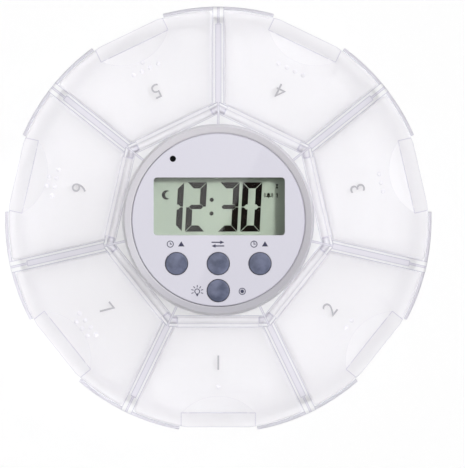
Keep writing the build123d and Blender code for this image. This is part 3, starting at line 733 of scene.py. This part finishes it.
# Display: a grey-green liquid crystal glass, painted paler towards the right as a painted light.
# Its dark segments and signs lie on its top.
# Painted light: the display glass is painted paler towards the right
DISPLAY_REACH = 18.0 * MM
DISPLAY_BRIGHT_SIDE = (1, 0)
GLASS_GLOSS = {"Specular_IOR_Level": 0.0, "Coat_Weight": 0.6, "Coat_Roughness": GLOSS_ROUGHNESS}
display_glass, glass_tree, glass_shader = new_finish("display glass", **GLASS_GLOSS)
segment_ink, ink_tree, ink_shader = new_finish(
    "display segments", Base_Color=tint(18, 13, 10), **GLASS_GLOSS
)
for tree, shader in ((glass_tree, glass_shader), (ink_tree, ink_shader)):
    hazed(tree, shader, grain=2600.0, patch=150.0, low=0.26, high=0.36)
display_painted_light = sheened(
    glass_tree, tint(156, 168, 153), tint(165, 176, 161), DISPLAY_BRIGHT_SIDE, DISPLAY_REACH
)
join(glass_tree, display_painted_light, glass_shader.inputs["Base Color"])
dress("display", display_glass)

DISPLAY_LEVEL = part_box("display")[1].z
SEGMENT_FILM = 0.02 * MM
DIGIT_WIDTH = 5.85 * MM
DIGIT_HEIGHT = 14.8 * MM
STROKE = 1.85 * MM
MIDDLE_STROKE = 1.3 * MM
MIDDLE_TIP = 0.75 * MM
SEGMENT_GAP = 0.1 * MM
SLANT = math.tan(math.radians(3))
DIGITS_FOOT = at_pixel(0, 231.6)[1]
DIGIT_PIXELS = {"first": (162.2, "1"), "second": (185, "2"), "third": (217.6, "3"), "fourth": (240.2, "0")}
COLON_PIXELS = ((211.7, 199.8), (211.5, 213.5))
COLON_RADIUS = 0.62 * MM


def digit_segments():
    """The seven strokes of a digit, mitred where they meet, from its lower left corner."""
    w, h, s, g = DIGIT_WIDTH, DIGIT_HEIGHT, STROKE, SEGMENT_GAP
    m, t = h / 2, MIDDLE_STROKE / 2
    tip = MIDDLE_TIP
    upper_left = [(0, h - g), (s, h - s - g), (s, m + t + g), (tip + t, m + t + g), (tip, m + g), (0, m + g)]
    top = [(g, h), (w - g, h), (w - s - g, h - s), (s + g, h - s)]
    end = tip + t
    middle = [(tip, m), (end, m + t), (w - end, m + t), (w - tip, m), (w - end, m - t), (end, m - t)]

    def across(points):
        return [(w - x, y) for x, y in points]

    def below(points):
        return [(x, h - y) for x, y in points]

    return {
        "top": top,
        "upper left": upper_left,
        "upper right": across(upper_left),
        "middle": middle,
        "lower left": below(upper_left),
        "lower right": below(across(upper_left)),
        "bottom": below(top),
    }


LIT_SEGMENTS = {
    "0": ("top", "upper left", "upper right", "lower left", "lower right", "bottom"),
    "1": ("upper right", "lower right"),
    "2": ("top", "upper right", "middle", "lower left", "bottom"),
    "3": ("top", "upper right", "middle", "lower right", "bottom"),
}


def on_display(name, outlines):
    """Lays outlines on the display's glass."""
    shape = flat_shape(name, outlines, DISPLAY_LEVEL, SEGMENT_FILM)
    finish_piece(shape, "timer", segment_ink)


strokes = digit_segments()
for place, (pixel, figure) in DIGIT_PIXELS.items():
    left = at_pixel(pixel, 0)[0]
    outlines = [
        [(left + x + y * SLANT, DIGITS_FOOT + y) for x, y in strokes[part]] for part in LIT_SEGMENTS[figure]
    ]
    on_display(f"display_digit_{place}", outlines)

MOON_PLACE = at_pixel(166.4, 194.9)
MOON_RADIUS = 1.4
MOON_HOLLOW = 0.7
MOON_TIP = math.radians(50)
BACK_STEPS = 20
FRONT_STEPS = 14


def crescent(radius, hollow, tip):
    """A moon's outline: its round back, and its hollow front about a point to the right."""
    tip_x, tip_y = radius * math.cos(tip), radius * math.sin(tip)
    front_radius = math.hypot(tip_x - hollow, tip_y)
    front_tip = math.atan2(tip_y, tip_x - hollow)
    back = [tip + (2 * math.pi - 2 * tip) * i / BACK_STEPS for i in range(BACK_STEPS + 1)]
    front = [
        front_tip + (2 * math.pi - 2 * front_tip) * i / FRONT_STEPS for i in range(FRONT_STEPS - 1, 0, -1)
    ]
    outline = [(radius * math.cos(t), radius * math.sin(t)) for t in back]
    return outline + [(hollow + front_radius * math.cos(t), front_radius * math.sin(t)) for t in front]


BELL_PLACE = at_pixel(268.5, 195.2)
BELL_SIZE = 0.95
BELL = [
    (-0.8, -0.6), (0.8, -0.6), (0.8, -0.42), (0.52, -0.2), (0.46, 0.3), (0.3, 0.62),
    (0, 0.75), (-0.3, 0.62), (-0.46, 0.3), (-0.52, -0.2), (-0.8, -0.42),
]
CLAPPER_DROP = 0.78 * BELL_SIZE * MM
SIGN_STROKE = 0.17 * MM
RINGING = (0.95 * MM, 1.28 * MM)
RINGING_SPREAD = 32
SMALL_ONE_PLACE = at_pixel(277, 195.4)
SMALL_ONE = [
    (-0.1, -0.65), (0.2, -0.65), (0.2, 0.65), (-0.05, 0.65), (-0.32, 0.4), (-0.24, 0.26), (-0.1, 0.36),
]
SMALL_GLASS_PLACE = at_pixel(277, 186.3)
SMALL_GLASS = [(-0.4, -0.62), (0.4, -0.62), (0.09, 0), (0.4, 0.62), (-0.4, 0.62), (-0.09, 0)]

on_display("display_colon", [circle(*at_pixel(*pixel), COLON_RADIUS) for pixel in COLON_PIXELS])
on_display("display_moon", [placed(crescent(MOON_RADIUS, MOON_HOLLOW, MOON_TIP), MOON_PLACE)])
bell = [placed(BELL, BELL_PLACE, BELL_SIZE)]
bell.append(circle(BELL_PLACE[0], BELL_PLACE[1] - CLAPPER_DROP, SIGN_STROKE))
for middle in (0, 180):
    for radius in RINGING:
        start, end = middle - RINGING_SPREAD, middle + RINGING_SPREAD
        bell.append(bow(*BELL_PLACE, radius, SIGN_STROKE, start, end))
on_display("display_bell", bell)
on_display("display_small_one", [placed(SMALL_ONE, SMALL_ONE_PLACE)])
on_display("display_small_glass", [placed(SMALL_GLASS, SMALL_GLASS_PLACE)])


# Keys: four slate blue plastic buttons, semi-gloss and faintly mottled. Each passes through a
# hole in the face and stands on a dome of the rubber key sheet.
KEY_DARK = tint(88, 94, 116)
KEY_PALE = tint(118, 123, 148)
MOTTLE_BAND = (0.35, 0.65)
key_plastic, key_tree, key_shader = new_finish("slate blue key plastic", IOR=1.5)
mottle = hazed(key_tree, key_shader, grain=3000.0, patch=330.0, low=0.24, high=0.4)
mottle_range = add_node(key_tree, "MapRange")
mottle_range.inputs["From Min"].default_value = MOTTLE_BAND[0]
mottle_range.inputs["From Max"].default_value = MOTTLE_BAND[1]
join(key_tree, mottle.outputs["Patches"], mottle_range.inputs["Value"])
mottled = mixed(key_tree, mottle_range.outputs["Result"], KEY_DARK, KEY_PALE)
join(key_tree, mottled, key_shader.inputs["Base Color"])
for key in ("hour_button", "mode_button", "minute_button", "record_button"):
    dress(key, key_plastic)


# Microphone: a small metal can under a port in the face. A black felt disc closes the port and
# keeps dust out.
FELT_RADIUS = 0.9 * MM
FELT_THICKNESS = 0.2 * MM
FELT_CROWN = 0.05 * MM
FELT_INSETS = (0.35 * FELT_RADIUS, 0.3 * FELT_RADIUS)
FACES_UP = 0.9
SEAT_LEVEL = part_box("face_plate")[0].z


def middle_of(node):
    """The middle of a CAD node in plan."""
    low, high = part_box(node)
    return (low.x + high.x) / 2, (low.y + high.y) / 2


mic_middle = middle_of("microphone")
bpy.ops.object.select_all(action="DESELECT")
bpy.ops.mesh.primitive_cylinder_add(
    vertices=24,
    radius=FELT_RADIUS,
    depth=FELT_THICKNESS,
    location=(*mic_middle, SEAT_LEVEL + FELT_THICKNESS / 2),
)
felt = bpy.context.object
felt.name = felt.data.name = "microphone_felt"
bpy.ops.object.transform_apply(location=True, rotation=False, scale=False)


def select_upper_faces(piece):
    """Selects in edit mode just the faces that look up."""
    bpy.ops.object.mode_set(mode="EDIT")
    bpy.ops.mesh.select_all(action="DESELECT")
    bpy.ops.object.mode_set(mode="OBJECT")
    for face in piece.data.polygons:
        face.select = face.normal.z > FACES_UP
    bpy.ops.object.mode_set(mode="EDIT")
    bpy.ops.mesh.select_mode(type="FACE")


select_upper_faces(felt)
for inset in FELT_INSETS:
    bpy.ops.mesh.inset(thickness=inset)
    bpy.ops.transform.translate(value=(0, 0, FELT_CROWN / 2))
bpy.ops.object.mode_set(mode="OBJECT")
felt_black, felt_tree, felt_shader = new_finish("black felt", Base_Color=tint(14, 14, 16))
fibres = hazed(felt_tree, felt_shader, grain=9000.0, patch=4000.0, low=0.85, high=1.0)
grained(felt_tree, felt_shader, fibres.outputs["Height"], depth=0.05 * MM)
finish_piece(felt, "timer", felt_black)


# Works inside the timer: a green board, the display's white holder with its rubber strips, the
# grey rubber key sheet and the speaker.
GRAINS_IN_PATCH = 30


def plain_plastic(name, colour, grain, low, high, depth):
    """A moulded or rubbery finish: haze in its gloss and a grain in its surface."""
    finish, tree, shader = new_finish(name, Base_Color=colour)
    surface = hazed(tree, shader, grain, grain / GRAINS_IN_PATCH, low, high)
    grained(tree, shader, surface.outputs["Height"], depth)
    return finish, tree, shader


HOLDER_WHITE = tint(232, 232, 230)
RUBBER_GREY = tint(150, 152, 160)
holder_plastic = plain_plastic(
    "white holder plastic", HOLDER_WHITE, grain=3000.0, low=0.4, high=0.5, depth=0.01 * MM
)[0]
key_rubber = plain_plastic(
    "grey key rubber", RUBBER_GREY, grain=2500.0, low=0.7, high=0.85, depth=0.01 * MM
)[0]
dress("display_holder", holder_plastic)
dress("keypad", key_rubber)

# Rubber strips in fine layers, by turns conducting and not
STRIP_LAYER = 0.18 * MM
STRIP_DARK = tint(60, 60, 66)
STRIP_PALE = tint(214, 210, 216)
WAVES_PER_SCALE = 20 / (2 * math.pi)
strip_rubber, strip_tree, strip_shader = new_finish("layered strip rubber", Roughness=0.75)
layers = add_node(strip_tree, "TexWave", bands_direction="X")
layers.inputs["Scale"].default_value = 1 / (WAVES_PER_SCALE * STRIP_LAYER)
strip_place = add_node(strip_tree, "TexCoord")
join(strip_tree, strip_place.outputs["Object"], layers.inputs["Vector"])
layered = mixed(strip_tree, layers.outputs["Fac"], STRIP_DARK, STRIP_PALE)
join(strip_tree, layered, strip_shader.inputs["Base Color"])
dress("contact_strips", strip_rubber)

# Board laminate with copper tracks showing through the green lacquer
TRACK_PITCH = 1.6 * MM
board_green, board_tree, board_shader = new_finish(
    "green board laminate", Roughness=0.3, Coat_Weight=0.3
)
tracks = add_node(board_tree, "TexBrick", offset=0.5)
tracks.inputs["Scale"].default_value = 1 / TRACK_PITCH
tracks.inputs["Mortar Size"].default_value = 0.09
tracks.inputs["Mortar Smooth"].default_value = 0.3
tracks.inputs["Brick Width"].default_value = 2.3
tracks.inputs["Row Height"].default_value = 0.8
tracks.inputs["Color1"].default_value = tint(28, 88, 50)
tracks.inputs["Color2"].default_value = tint(24, 78, 46)
tracks.inputs["Mortar"].default_value = tint(70, 140, 84)
board_place = add_node(board_tree, "TexCoord")
join(board_tree, board_place.outputs["Object"], tracks.inputs["Vector"])
join(board_tree, tracks.outputs["Color"], board_shader.inputs["Base Color"])
grained(board_tree, board_shader, tracks.outputs["Fac"], depth=0.03 * MM)
dress("circuit_board", board_green)

# Speaker: a black basket whose magnet cup, above it, is bare steel
MAGNET_HEIGHT = 1.39 * MM
MAGNET_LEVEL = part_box("speaker")[1].z - MAGNET_HEIGHT
BASKET_BLACK = tint(30, 30, 33)
MAGNET_STEEL = tint(176, 176, 180)
speaker_black, speaker_tree, speaker_shader = plain_plastic(
    "speaker basket and magnet", BASKET_BLACK, grain=2500.0, low=0.5, high=0.65, depth=0.01 * MM
)
speaker_place = add_node(speaker_tree, "TexCoord")
speaker_axes = add_node(speaker_tree, "SeparateXYZ")
join(speaker_tree, speaker_place.outputs["Object"], speaker_axes.inputs[0])
is_magnet = add_node(speaker_tree, "Math", operation="GREATER_THAN")
is_magnet.inputs[1].default_value = MAGNET_LEVEL
join(speaker_tree, speaker_axes.outputs["Z"], is_magnet.inputs[0])
basket_or_magnet = mixed(speaker_tree, is_magnet.outputs[0], BASKET_BLACK, MAGNET_STEEL)
join(speaker_tree, basket_or_magnet, speaker_shader.inputs["Base Color"])
join(speaker_tree, is_magnet.outputs[0], speaker_shader.inputs["Metallic"])
dress("speaker", speaker_black)


# Metal pieces: the microphone's can, the coin cell, its two spring contacts and the case screws.
# All are drawn or turned steel under a bright plating, with fine turning marks.
RING_PITCH = 0.12 * MM
RING_WANDER = 1.5
GLOSS_SPREAD = 0.06


def plated(name, colour, roughness, middle=(0, 0), ring_pitch=RING_PITCH, slot=None):
    """Plated metal with fine turning marks in rings about a middle, and a painted shade in a driver's slot.
    """
    finish, tree, shader = new_finish(name, Base_Color=colour, Metallic=1.0)
    place = add_node(tree, "TexCoord")
    centre = add_node(tree, "Mapping")
    centre.inputs["Location"].default_value = (-middle[0], -middle[1], 0)
    join(tree, place.outputs["Object"], centre.inputs["Vector"])
    rings = add_node(tree, "TexWave", wave_type="RINGS", rings_direction="Z")
    rings.inputs["Scale"].default_value = 1 / (WAVES_PER_SCALE * ring_pitch)
    rings.inputs["Distortion"].default_value = RING_WANDER
    join(tree, centre.outputs["Vector"], rings.inputs["Vector"])
    gloss = add_node(tree, "MapRange")
    gloss.inputs["To Min"].default_value = roughness - GLOSS_SPREAD
    gloss.inputs["To Max"].default_value = roughness + GLOSS_SPREAD
    join(tree, rings.outputs["Fac"], gloss.inputs["Value"])
    join(tree, gloss.outputs["Result"], shader.inputs["Roughness"])
    if slot:
        join(tree, grooved(tree, colour, slot), shader.inputs["Base Color"])
    return finish


STRIP_RING_PITCH = 0.4 * MM
SCREW_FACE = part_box("case_screws")[0].z
# Painted shade in the screws' driver slots
SLOT_LIP = 0.05 * MM
SLOT_DEPTH = 0.42 * MM
PAINTED_SLOT_SHADE = tint(70, 70, 74)
cell_middle = middle_of("coin_cell")
cell_steel = plated("coin cell steel", tint(208, 208, 206), roughness=0.28, middle=cell_middle)
can_metal = plated("microphone can", tint(180, 180, 184), roughness=0.35, middle=mic_middle)
contact_metal = plated(
    "nickel-plated spring strip",
    tint(214, 206, 188),
    roughness=0.3,
    middle=cell_middle,
    ring_pitch=STRIP_RING_PITCH,
)
slot_band = (SCREW_FACE + SLOT_LIP, SCREW_FACE + SLOT_DEPTH, PAINTED_SLOT_SHADE)
screw_metal = plated("zinc-plated screws", tint(190, 192, 198), roughness=0.32, slot=slot_band)
dress("coin_cell", cell_steel)
dress("microphone", can_metal)
dress("minus_contact", contact_metal)
dress("plus_contact", contact_metal)
dress("case_screws", screw_metal)


# Back of the timer: a matt cover and the coin-turn battery cover, in one spark-grained plastic.
# Raised marks tell the battery cover's closed and open places.
back_plastic = plain_plastic(
    "spark-grained back plastic", tint(206, 205, 213), grain=4200.0, low=0.5, high=0.62, depth=0.05 * MM
)[0]
dress("back_cover", back_plastic)
dress("battery_cover", back_plastic)
BACK_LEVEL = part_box("battery_cover")[0].z
MARK_RISE = 0.15 * MM
MARK_RADIUS = 0.6 * MM
MARK_CIRCLE = 13.5 * MM
INDEX_CIRCLE = 10.7 * MM
CLOSED_ANGLE = 90
OPEN_ANGLE = 135
INDEX = [(-0.6, -0.5), (0.6, -0.5), (0, 0.7)]


def about_cell(radius, angle):
    """A place on a circle about the coin cell's axis."""
    turn = math.radians(angle)
    return cell_middle[0] + radius * math.cos(turn), cell_middle[1] + radius * math.sin(turn)


open_place = about_cell(MARK_CIRCLE, OPEN_ANGLE)
marks = [circle(*about_cell(MARK_CIRCLE, CLOSED_ANGLE), MARK_RADIUS), circle(*open_place, MARK_RADIUS)]
marks.append(circle(*open_place, MARK_RADIUS / 2))
lock_marks = flat_shape("lock_marks", marks, BACK_LEVEL - MARK_RISE, MARK_RISE)
finish_piece(lock_marks, "timer", back_plastic)
index_outline = placed(INDEX, about_cell(INDEX_CIRCLE, CLOSED_ANGLE))
cover_index = flat_shape("cover_index", [index_outline], BACK_LEVEL - MARK_RISE, MARK_RISE)
finish_piece(cover_index, "battery_cover", back_plastic)
